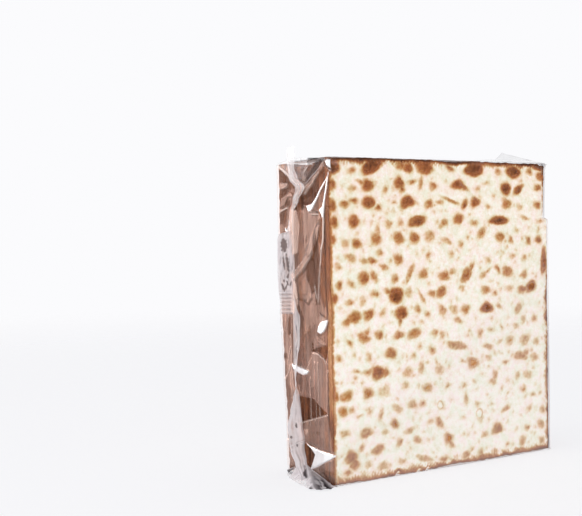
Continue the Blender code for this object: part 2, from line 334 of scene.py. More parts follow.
# blisters of the front sheet whose thin tops have burst: mm across and down, radius, and how toasted the
# ring is
openBlisters = [(73.5, 141.0, 1.9, 0.34), (103.5, 149.2, 2.3, 0.36)]

# the bubbles and specks that have no place of their own, with lengths in mm
scatter = {
    "firstRow": 4.2,
    "firstColumn": (0, 8),
    "rowPitch": 10.4,
    "rowSteps": (0.94, 1.06),          # shares of the pitch from one to the next
    "columnPitch": 9.6,
    "columnSteps": (0.65, 1.45),
    "jitter": 1.3,
    "tilts": 35,                       # the spread of their tilts, in degrees
    "smallest": 1.6,
    "meanGrowth": 2.9,
    "largest": 8.5,
    "largestBetween": 3.8,             # between the front sheet's own bubbles
    "narrowest": 0.55,                 # of their length
    "toast": (0.30, 0.045, 0.09),      # the least, how it grows with each mm of size, and its spread
    "apart": 4.6,
    "speckCount": 620,
    "speckSizes": (1.2, 2.6),
    "speckToasts": (0.12, 0.36),
    "specksApart": 1.5,
}


def seededBubbles(seed, taken):
    # the rest of the bubbles: one in most places of a jittered grid, and small tan specks between them
    chance = random.Random(seed)
    width, height = sheet["width"] / mm, sheet["height"] / mm
    largest = scatter["largestBetween" if taken else "largest"]
    made = []

    def add(across, down, long, wide, tilt, toast, room):
        near = [math.hypot(across - b[0], down - b[1]) - b[2] / 2 for b in taken + made]
        if min(near, default=room) >= room:
            made.append((across, down, long, wide, tilt, toast))

    row = scatter["firstRow"]
    while row < height - 2:
        place = chance.uniform(*scatter["firstColumn"])
        while place < width:
            size = min(largest, scatter["smallest"] + chance.expovariate(1 / scatter["meanGrowth"]))
            narrow = size * chance.uniform(scatter["narrowest"], 1.0)
            least, growth, spread = scatter["toast"]
            toast = min(0.95, least + growth * size + chance.gauss(0, spread))
            down = row + chance.gauss(0, scatter["jitter"])
            add(place, down, size, narrow, chance.gauss(0, scatter["tilts"]), toast, scatter["apart"])
            place += scatter["columnPitch"] * chance.uniform(*scatter["columnSteps"])
        row += scatter["rowPitch"] * chance.uniform(*scatter["rowSteps"])
    for i in range(scatter["speckCount"]):
        size = chance.uniform(*scatter["speckSizes"])
        add(chance.uniform(0, width), chance.uniform(0, height), size, size * chance.uniform(0.5, 1),
            chance.uniform(-90, 90), chance.uniform(*scatter["speckToasts"]), scatter["specksApart"])
    return made


bubble = {
    "swell": 1.12,                # how much larger a browned patch is than its bubble
    "warps": [(6, 0.2), (2.2, 0.13)],    # how its outline wanders: mm long, mm aside
    "lobes": (0.13, 0.13, 0.06),  # how far its outline may have two, three and four lobes
    "bodyToast": 0.82,            # shares of its toast that its whole body and its middle have
    "coreToast": 0.17,
    "patchToast": 0.06,
    "haloToast": 0.13,            # of the tan ring round it
    "bodyEdge": (-1.4, 1.3),      # mm in from its outline over which each fades
    "haloEdge": (-3.2, -0.2),
    "doming": 0.16,               # mm that it rises for each mm of width
    "tallest": 1.0,
}


def bubbleField(across, down, bubbles, seed):
    # how toasted each point is, and how far the dough stands up there, for points in mm
    chance = random.Random(seed)
    warpAcross, warpDown = (sum(aside * waves(across, down, long, seed + first + i)
                                for i, (long, aside) in enumerate(bubble["warps"])) for first in (1, 3))
    x, z = across + warpAcross, down + warpDown
    patchy = bubble["patchToast"] * waves(x, z, 2.6, seed)
    toast = np.zeros(len(x))
    rise = np.zeros(len(x))
    for centre, drop, long, wide, tilt, strength in bubbles:
        long, wide = long * bubble["swell"], wide * bubble["swell"]
        lobes = [chance.uniform(0.01, most) for most in bubble["lobes"]]
        phases = [chance.uniform(0, fullTurn) for i in range(3)]
        off = chance.uniform(-0.2, 0.2), chance.uniform(-0.2, 0.2)
        near = np.flatnonzero((abs(x - centre) < long + 2) & (abs(z - drop) < long + 2))
        if not len(near):
            continue
        turn = math.radians(tilt)
        dx, dz = x[near] - centre, drop - z[near]
        along = (dx * math.cos(turn) + dz * math.sin(turn)) / (long / 2)
        beside = (dz * math.cos(turn) - dx * math.sin(turn)) / (wide / 2)
        angle = np.arctan2(beside, along)
        outline = 1 + sum(a * np.cos((k + 2) * angle + p) for k, (a, p) in enumerate(zip(lobes, phases)))
        inside = 1 - np.hypot(along, beside) / outline     # 1 at the middle, 0 on the outline
        depth = inside * (long + wide) / 4                 # mm in from the outline
        body = smooth(*bubble["bodyEdge"], depth)
        core = smooth(0.2, 0.85, 1 - np.hypot(along - off[0], beside - off[1]))
        level = strength * (bubble["bodyToast"] * body + bubble["coreToast"] * core) + body * patchy[near]
        level = level + bubble["haloToast"] * strength * smooth(*bubble["haloEdge"], depth) * (1 - body)
        toast[near] = np.maximum(toast[near], level)
        dome = smooth(-0.15, 0.9, inside) * min(bubble["tallest"], bubble["doming"] * wide)
        rise[near] = np.maximum(rise[near], dome)
    return toast, rise


def rightEdge(down, nearFront=1.0):
    # mm that the right edge stands out, less above the place where a piece has snapped off the front sheet
    snapped = nearFront * smooth(0.6, -0.6, down - sheet["snappedTo"])
    whole, broken = (atTop + change * down for atTop, change in (sheet["rightEdge"], sheet["snappedEdge"]))
    return blend(whole, broken, snapped)


# how the oven shaped and browned a sheet; a field here is (how strong, its length in mm, its seed)
bake = {
    "lumps": [(0.22, 38, 5), (0.12, 13, 6)],
    "crumb": (0.035, 1.9, 7),
    "pinHole": (0.25, 0.9),       # mm from its middle to its steep side and to its rim
    "paleUnder": 0.25,            # how toasted a bubble is where it has lifted the pin holes away
    "moreBelow": (0.06, 90, 150), # how much more toasted bubbles get between these mm down
    "paintedTopShade": 0.07,             # painted shade: how much more toasted the face is made towards its top, to darken it there
    "ragged": [(0.4, 7, 8), (0.3, 2.4, 9)],
    "rimUneven": (0.12, 24, 15),
    "outlines": [(0.35, 46, 13), (0.16, 6, 14)],    # mm that the edge wanders
    "reach": 5.5,                 # mm in from the edge that it wanders
    "crispRim": 0.3,              # the least toasted that a rim is on its outer side
    # the top rims behind the front one are paler: how much, how unevenly, and a seed
    "topRims": (0.16, 0.09, 16),
}


def wander(a, b, fields, seed):
    return sum(strength * waves(a, b, length, seed + more) for strength, length, more in fields)


def pinHoles(across, down):
    # 1 in each hole that a docking pin leaves, and 0 round it
    pinAcross, pinUp = sheet["pinPitch"]
    away = np.hypot((across / pinAcross % 1 - 0.5) * pinAcross, (down / pinUp % 1 - 0.5) * pinUp)
    return 1 - smooth(*bake["pinHole"], away)


def burst(across, down, toast):
    # a blister whose top has burst is pale inside a toasted ring
    for place, low, radius, tone in openBlisters:
        away = np.hypot(across - place, (down - low) / 1.2)
        ring = tone * (1 + 0.35 * (across - place) / radius) * bell(away - radius, 0.5)
        toast = np.maximum(toast * (1 - smooth(radius + 1, radius, away)), ring)
    return toast


def rimBands(across, down, rims, seed, broken):
    # how browned the rims are on a face: of a different depth on each side, with ragged inner edges
    toRight, toFoot = 2 * halfWidth - across, sheet["height"] / mm - down
    ragged = np.maximum(1 + wander(across, down, bake["ragged"], seed), 0.35)
    uneven = 0.88 + wander(across, down, [bake["rimUneven"]], seed)
    toast = 0
    for distance, (reach, strength) in zip((across, toRight, down, toFoot), rims):
        share = np.interp(toFoot, *sheet["rightRim"]) if broken and distance is toRight else 1
        band = strength * uneven * np.minimum(share, 1)
        band = band * (1 - smooth(0.3, reach, distance / ragged / np.maximum(share, 0.3)))
        toast = np.maximum(toast, band)
    return toast


def bakeFace(mesh, bubbles, seed, rims, rimTone, broken):
    # shapes a flat sheet standing in X and Z, facing -Y, and writes how toasted it is
    co = places(mesh)
    height = sheet["height"] / mm
    across, down, depth = co[:, 0] / mm + halfWidth, height - co[:, 2] / mm, co[:, 1] / mm
    toLeft, toRight, toTop, toFoot = across, 2 * halfWidth - across, down, height - down
    toSide, toEnd = np.minimum(toLeft, toRight), np.minimum(toTop, toFoot)
    inward = np.minimum(toSide, toEnd)
    front = depth < 0.001

    toast, rise = bubbleField(across, down, bubbles, seed)
    more, start, full = bake["moreBelow"]
    toast = toast * (1 + more * smooth(start, full, down))
    # painted shade: the face is made darker towards its top
    toast = toast + bake["paintedTopShade"] * smooth(height * 0.95, 0, down)
    pinned = pinHoles(across, down) * (toast < bake["paleUnder"]) * (inward > 3)
    strength, length, more = bake["crumb"]
    crumb = strength * waves(across, down, length, seed + more, 14)
    relief = wander(across, down, bake["lumps"], seed) + crumb + rise - sheet["pinDepth"] * pinned
    rounded = sheet["edgeRound"] / mm * (1 if broken else 0.5)
    co[:, 1] += np.where(front, fallBack(inward, rounded) - relief * smooth(0, 1.6, inward), 0) * mm
    if broken:
        toast = burst(across, down, toast)
    toast = np.maximum(toast, rimBands(across, down, rims, seed, broken))

    # the rim's outer side, which is toasted too
    bulge = np.sin(np.clip(depth / (sheet["thickness"] / mm), 0, 1) * math.pi)
    around = np.where(toSide < toEnd, down, across)
    rimToast = rimTone + 0.06 * waves(around / 3, depth * 1.5, 7, seed + 10)
    # painted light: with the bulge term the rim is paler towards its front and back edges, against the
    # shade in the gaps between sheets
    rimToast = rimToast + 0.05 * waves(around, depth * 2, 3, seed + 11) + 0.04 * bulge
    if broken:
        low, high, less = sheet["paleRim"]
        pale = smooth(low, low + 9, toFoot) * smooth(high, high - 9, toFoot) * (toLeft < 2)
        rimToast = rimToast - less * pale
    else:
        less, strength, more = bake["topRims"]
        less = less - strength * waves(around, depth, 16, seed + more)
        rimToast = rimToast - less * smooth(4, 2, toTop)
    toast = np.where(front, toast, np.maximum(rimToast, bake["crispRim"]))

    # its uneven outline, drawn in or pushed out
    uneven = wander(around, down * 0, bake["outlines"], seed)
    if broken:
        uneven = np.where(toRight < 6, rightEdge(down) + 0.3 + 0.5 * uneven, uneven + 0.45 * (toTop < 6))
        for place, deep in nibbles:
            bite = bell(across - place, 1.3) * (toFoot < 6)
            uneven = uneven - deep * bite
            toast = toast * (1 - bite * (toFoot < 1.4))
    swell = 0.2 * bulge + 0.15 * waves(around / 2, depth * 2, 3.6, seed + 12)
    pull = (uneven - 0.3 + np.where(front, 0, swell)) * (1 - smooth(0, bake["reach"], inward)) * mm
    sideways, corner = toSide <= toEnd, toSide + toEnd < 2
    co[:, 0] += np.where(sideways | corner, np.where(toLeft < toRight, -pull, pull), 0)
    co[:, 2] += np.where(~sideways | corner, np.where(toTop < toFoot, pull, -pull), 0)
    co[:, 2] = np.maximum(co[:, 2], -0.3 * mm)    # the foot rests on the wrap
    setPlaces(mesh, co)
    setField(mesh, "toast", toast)


def leaning(z):
    # mm that the last sheet stands back at each height
    return softened(z, *sheet["lean"])


def blankSheet(spacing):
    # a flat grid in X and Z with its border drawn back by the sheet's thickness and closed behind
    width, height = sheet["width"], sheet["height"]
    columns, rows = round(width / spacing), round(height / spacing)
    bm = bmesh.new()
    bmesh.ops.create_grid(bm, x_segments=columns, y_segments=rows, size=0.5)
    bmesh.ops.scale(bm, vec=(width, height, 1), verts=bm.verts)
    bmesh.ops.rotate(bm, matrix=Matrix.Rotation(math.radians(90), 3, "X"), verts=bm.verts)
    bmesh.ops.translate(bm, vec=(0, 0, height / 2), verts=bm.verts)
    border = [e for e in bm.edges if e.is_boundary]
    for row in range(sheet["rimRows"]):
        drawn = bmesh.ops.extrude_edge_only(bm, edges=border)["geom"]
        moved = [g for g in drawn if isinstance(g, bmesh.types.BMVert)]
        border = [g for g in drawn if isinstance(g, bmesh.types.BMEdge) and g.is_boundary]
        bmesh.ops.translate(bm, vec=(0, sheet["thickness"] / sheet["rimRows"], 0), verts=moved)
    bmesh.ops.contextual_create(bm, geom=border)
    bmesh.ops.recalc_face_normals(bm, faces=bm.faces)
    return bm


def makeSheets():
    material = matzoMaterial()
    pitch = 2 * halfDepth / sheet["count"]
    chance = random.Random(31)
    for i in range(sheet["count"]):
        last = i == sheet["count"] - 1
        shown = i == 0 or last
        bm = blankSheet(sheet["faceSpacing" if shown else "innerSpacing"])
        piece = finishPiece(bm, f"matzo_sheet_{i + 1:02d}", material)
        fixed = frontBubbles if i == 0 else []
        bubbles = fixed + seededBubbles(100 + i, fixed) if shown else []
        rimTone = chance.gauss(*sheet["rimTone"]) + sheet["rimTones"][i] if i else sheet["frontRimTone"]
        rims = sheet["faceRims" if shown else "innerRims"]
        bakeFace(piece.data, bubbles, 50 + 20 * i, rims, rimTone, i == 0)

        aside, raised = sheet["slip"]
        slip = Vector((chance.uniform(-aside, aside), 0, chance.uniform(0, raised))) if i else Vector()
        fromFront = pitch * i + sheet["inset"]
        if last:
            piece.data.transform(Matrix.Rotation(math.pi, 4, "Z"))   # its baked face looks back
            fromFront = 2 * halfDepth - sheet["inset"]
        place = Vector((stackMiddle.x, stackLow.y, stackLow.z))
        place = place + Vector((0, fromFront, sheet["offFloor"])) * mm
        piece.data.transform(Matrix.Translation(place + slip * mm))
        co = places(piece.data)
        across, up = (co[:, 0] - stackMiddle.x) / mm, (co[:, 2] - stackLow.z) / mm
        if i:
            inset = sheet["clearOfWrap"] - rightEdge(stackHeight - up, 0)
            co[:, 0] -= inset * smooth(halfWidth - sheet["edgeBand"], halfWidth, across) * mm
        (inner, outer), (start, full) = sheet["wornOver"]
        worn = smooth(inner - halfWidth, outer - halfWidth, across) * smooth(start, full, up)
        co[:, 2] -= sheet["worn"][i] * worn * mm
        co[:, 1] += leaning((co[:, 2] - stackLow.z) / mm) * mm * i / (sheet["count"] - 1)
        setPlaces(piece.data, co)
    print("matzo sheets made")


# Polypropylene film stretched until it is thin and clear, folded into a tube round the stack and crimped
# shut at both ends: it shows only by its gloss, most where it is seen aslant and where plies lie together,
# and by the milky lines that a fold leaves.
film = {
    "gap": 0.5,                # mm between the film and the sheets, about
    "shineRoughness": 0.07,
    "straightShine": 0.075,    # share mirrored by both faces, seen straight on
    "aslantPower": 4.2,
    "many": (3.0, 8.0),        # plies over which they lose the cast of what is behind them
    "plain": "#ffffff",        # painted reflection: casts given to what the film mirrors, away from the toasted rims and against them
    "warm": "#ffd2c0",
    "milk": "#f6f0f2",         # the white of a fold, likewise, warmed against the rims as painted light from them
    "warmMilk": "#ffe8dc",
    "litThrough": 0.5,         # the share of a loose fold's light that comes from behind it
    "fold": "#33282c",         # painted shade: the dark that the shade field lays on folds, slits and shaded film
    "tubeSpacing": 1.7,        # mm between points
    "endSpacing": 0.5,
    "sealSpacing": 0.4,
}


def filmMaterial(name, cast, white, through):
    made, tree = newMaterial(name)
    facing = addNode(tree, "ShaderNodeLayerWeight", {}, {"Blend": 0.5}).outputs["Facing"]
    plies, milk, shade = (addNode(tree, "ShaderNodeAttribute", {"attribute_name": key}).outputs["Fac"]
                          for key in ("plies", "milk", "shade"))
    aslant = addNode(tree, "ShaderNodeMath", {"operation": "POWER"}, {0: facing, 1: film["aslantPower"]})
    shine = addNode(tree, "ShaderNodeMath", {"operation": "MULTIPLY_ADD"}, {
        0: aslant.outputs[0], 1: 1 - film["straightShine"], 2: film["straightShine"]})
    mirrored = addNode(tree, "ShaderNodeMath", {"operation": "MULTIPLY", "use_clamp": True}, {
        0: shine.outputs[0], 1: plies})

    # one or two plies mirror with a cast, and a folded corner of many plies mirrors without it
    few, lots = film["many"]
    many = addNode(tree, "ShaderNodeMapRange", {}, {"Value": plies, "From Min": few, "From Max": lots})
    glow, folded = (addNode(tree, "ShaderNodeMix", {"data_type": "RGBA"}, {
        "Factor": many.outputs["Result"], 6: linear(tone), 7: linear(film["plain"])})
        for tone in (cast, white))
    clear = addNode(tree, "ShaderNodeBsdfTransparent")
    gloss = addNode(tree, "ShaderNodeBsdfAnisotropic", {}, {
        "Color": glow.outputs[2], "Roughness": film["shineRoughness"]})
    body = addNode(tree, "ShaderNodeMixShader", {}, {
        "Fac": mirrored.outputs[0], 1: clear.outputs["BSDF"], 2: gloss.outputs["BSDF"]})

    # a fold is milky, and darkened by painted shade where the shade field says
    tone = addNode(tree, "ShaderNodeMix", {"data_type": "RGBA"}, {
        "Factor": shade, 6: folded.outputs[2], 7: linear(film["fold"])})
    near = addNode(tree, "ShaderNodeBsdfDiffuse", {}, {"Color": tone.outputs[2]})
    behind = addNode(tree, "ShaderNodeBsdfTranslucent", {}, {"Color": tone.outputs[2]})
    cloud = addNode(tree, "ShaderNodeMixShader", {}, {
        "Fac": through, 1: near.outputs["BSDF"], 2: behind.outputs["BSDF"]})
    surface = addNode(tree, "ShaderNodeMixShader", {}, {
        "Fac": milk, 1: body.outputs["Shader"], 2: cloud.outputs["Shader"]})
    addNode(tree, "ShaderNodeOutputMaterial", {}, {"Surface": surface.outputs["Shader"]})
    return made


def creases(a, b, length, seed, count=4):
    # a field of flat facets between straight folds, from about -1 to 1, for places in mm
    chance = random.Random(seed)
    bent = 0.1 * length * waves(a, b, 3 * length, seed + 1)
    total = 0
    for i in range(count):
        turn = math.pi * (i + chance.uniform(0, 0.9)) / count
        pitch = length * chance.uniform(0.7, 1.5)
        along = (a * math.cos(turn) + b * math.sin(turn) + bent) / pitch + chance.random()
        total = total + (abs(along % 1 * 2 - 1) * 2 - 1) * chance.uniform(0.6, 1)
    return total / count


def rumple(a, b, swells, facets, seed):
    # the shallow swells and flat facets of loose film, each given as (mm deep, mm long)
    return swells[0] * waves(a, b, swells[1], seed) + facets[0] * creases(a, b, facets[1], seed + 1)


def insideOf(a, b, outline):
    # how far each place is inside a straight-sided outline, in mm, and negative outside it
    crossings = np.zeros(len(a), int)
    nearest = np.full(len(a), 1e9)
    for (a1, b1), (a2, b2) in zip(outline, outline[1:] + outline[:1]):
        nearest = np.minimum(nearest, awayFrom(a, b, (a1, b1), (a2, b2)))
        if b1 != b2:
            crossings += ((b1 <= b) != (b2 <= b)) & (a < a1 + (b - b1) * (a2 - a1) / (b2 - b1))
    return np.where(crossings % 2 == 1, nearest, -nearest)


def awayFrom(a, b, start, end):
    # distance to a straight fold
    da, db = end[0] - start[0], end[1] - start[1]
    share = np.clip(((a - start[0]) * da + (b - start[1]) * db) / (da * da + db * db), 0, 1)
    return np.hypot(a - start[0] - share * da, b - start[1] - share * db)


def foldLine(a, b, start, end, wide):
    # 1 along a straight fold, fading to 0 on both sides of it
    return bell(awayFrom(a, b, start, end), wide)


def eachFold(a, b, folds):
    # the line of each straight part of each fold, and how strong the fold is
    for wide, strength, points in folds:
        for start, end in zip(points, points[1:]):
            yield foldLine(a, b, start, end, wide), strength


def evenGrid(across, up):
    # a grid from 0 to 1 in X and Z
    bm = bmesh.new()
    bmesh.ops.create_grid(bm, x_segments=across, y_segments=up, size=0.5)
    bmesh.ops.translate(bm, vec=(0.5, 0.5, 0), verts=bm.verts)
    bmesh.ops.rotate(bm, matrix=Matrix.Rotation(math.radians(90), 3, "X"), verts=bm.verts)
    return bm


def finishFilm(bm, name, material, shape):
    # shape turns the mesh's own points into places in mm from the middle of the stack's foot,
    # and gives the number of plies, the milkiness, and how dark that is at each, which is painted shade
    piece = finishPiece(bm, name, material)
    x, y, z, plies, milk, shade = shape(*places(piece.data).T)
    setPlaces(piece.data, np.stack([x, y, z], 1) * mm + [stackMiddle.x, stackMiddle.y, stackLow.z])
    setField(piece.data, "plies", plies * np.ones(len(x)))
    setField(piece.data, "milk", np.clip(milk * np.ones(len(x)), 0, 1))
    setField(piece.data, "shade", np.clip(shade * np.ones(len(x)), 0, 1))
    return piece


tube = {
    "lap": 9,             # mm that the tube's two ends overlap up the back
    "rounding": (-1.2, -0.6, 0, 0.6, 1.2),    # mm round a corner over which the film's place is averaged
    "frontRumple": ((0.22, 60), (0.1, 34)),   # swells and facets, each mm deep and long
    "backRumple": ((0.25, 50), (0.15, 22)),
    "topFacets": (0.35, 15),
    "puff": (25, 55, 3.4),    # mm right of the middle where the top stands off more, and how high
    "puffShade": 0.09,
    # painted shade in dark lines down the right corner and along the top one: mm up or across, then how
    # dark
    "cornerShade": ([0, 3, 6, 14, 100, 125, 140, 146, 165, 176],
                    [0.2, 0.6, 0.7, 0.35, 0.35, 0.1, 0.1, 0.35, 0.3, 0.8]),
    "cornerPlace": (2, 1.4),    # mm in from the corner, and further in where the sheet has snapped
    "ridgeShade": ([-80, -70, 30, 60, 80], [0.05, 0.2, 0.1, 0.3, 0.8]),
    "ridgePlace": 0.9,          # mm down from the top
    # plies that the front's look answers to, more towards its right foot
    "gloss": ([-0.9, -0.35, 0, 0.12, 0.35, 0.6, 1.4], [0.08, 0.15, 0.5, 0.75, 1.55, 1.55, 1.5]),
    # folds across the front, each from one point to another in mm from its foot's middle, then
    # how far it stands up and how wide and how milky it is
    "frontFolds": [((-4, 178), (8.5, 167.5), 0.3, 1.1, 0.16), ((8.5, 167.5), (21, 156), 0.3, 1.0, 0.16),
                   ((21, 156), (29, 149), 0.2, 0.9, 0.08), ((0, 178), (17, 164), 0.2, 1.0, 0.1),
                   # the first fold on the next line is a painted highlight: the glint along the front's top
                   # left edge, drawn as a milky line
                   ((-79, 175.4), (-34, 176.2), 0.2, 0.5, 0.5), ((-79, 170), (-64, 178), 0.2, 1.2, 0.1)],
}


def leant(y, z):
    # spreads places from front to back as the sheets are spread
    return y + leaning(z) * (y + halfDepth) / (2 * halfDepth)


def tucked(x, y, z):
    # keeps the wrap close outside the sheets' right edges
    nearFront = smooth(7, 3, y + halfDepth)
    edge = rightEdge(stackHeight - z, nearFront) + 0.1
    return x + edge * smooth(halfWidth - sheet["edgeBand"], halfWidth, x)


def wrapTube(material):
    width = halfWidth + 0.2
    top, lap = stackHeight + film["gap"], tube["lap"] / 2
    marks = np.cumsum([0, top / 2 + lap, 2 * halfDepth, top, 2 * halfDepth, top / 2 + lap])
    bm = evenGrid(round(2 * width / film["tubeSpacing"]), round(marks[-1] / film["tubeSpacing"]))

    def shape(u, flat, v):
        x, run = (2 * u - 1) * width, v * marks[-1]
        back = halfDepth + 0.15
        ys = [back, back, -halfDepth, -halfDepth, halfDepth, halfDepth]
        zs = [top / 2 - lap, top, top, 0, 0, top / 2 + lap]
        y, z = (sum(np.interp(run + slip, marks, path) / len(tube["rounding"]) for slip in tube["rounding"])
                for path in (ys, zs))
        offEnds = smooth(0.5, 4, top - z) * smooth(0.5, 4, z)
        front = offEnds * (y < -halfDepth + 1)
        behind = offEnds * (y > halfDepth - 1)
        slack = rumple(x, z, *tube["frontRumple"], 301)
        milk = np.zeros(len(x))
        for start, end, rise, wide, milky in tube["frontFolds"]:
            line = foldLine(x, z, start, end, wide)
            slack = slack + rise * line
            milk = np.maximum(milk, milky * line ** 2 * (0.6 + 0.4 * waves(x, z, 5, 303)))
        y = y - front * slack
        upper = (z > top - 1) * (abs(y) < halfDepth - 1)
        near, far, high = tube["puff"]
        puffed = upper * smooth(near, far, x) * (1 - (y / halfDepth) ** 2)
        deep, long = tube["topFacets"]
        z = z + upper * (deep * creases(x, y, long, 304) + 0.3) + high * puffed
        y = y + behind * rumple(x, z, *tube["backRumple"], 305)
        z = np.maximum(z, 0.1)
        y = leant(y, z)

        # the front is clearer close to its right corner and its top
        plies = softened(0.5 * x / halfWidth - (z / top * 2 - 1), *tube["gloss"])
        plies = np.where(front > 0, plies, 1) * (1 - 0.8 * smooth(halfWidth - 4, halfWidth - 1, x))
        plies = plies * (1 - 0.8 * smooth(top - 3, top - 0.5, z) * (y < 2 - halfDepth))
        placed = tucked(x, y, z)
        # painted shade: dark lines down the right corner and along the top
        inset, further = tube["cornerPlace"]
        line = halfWidth - inset - further * (z > stackHeight - sheet["snappedTo"])
        corner = bell(placed - line, 0.8) * (y < 1 - halfDepth) * np.interp(z, *tube["cornerShade"])
        ridge = bell(z - top + tube["ridgePlace"], 0.7) * (y < 2 - halfDepth)
        shade = np.maximum(corner, ridge * np.interp(x, *tube["ridgeShade"]))
        shade = np.maximum(shade, tube["puffShade"] * puffed)
        return placed, y, z, plies, np.maximum(milk * front, shade), shade > 0.04
    return finishFilm(bm, "film_tube", material, shape)


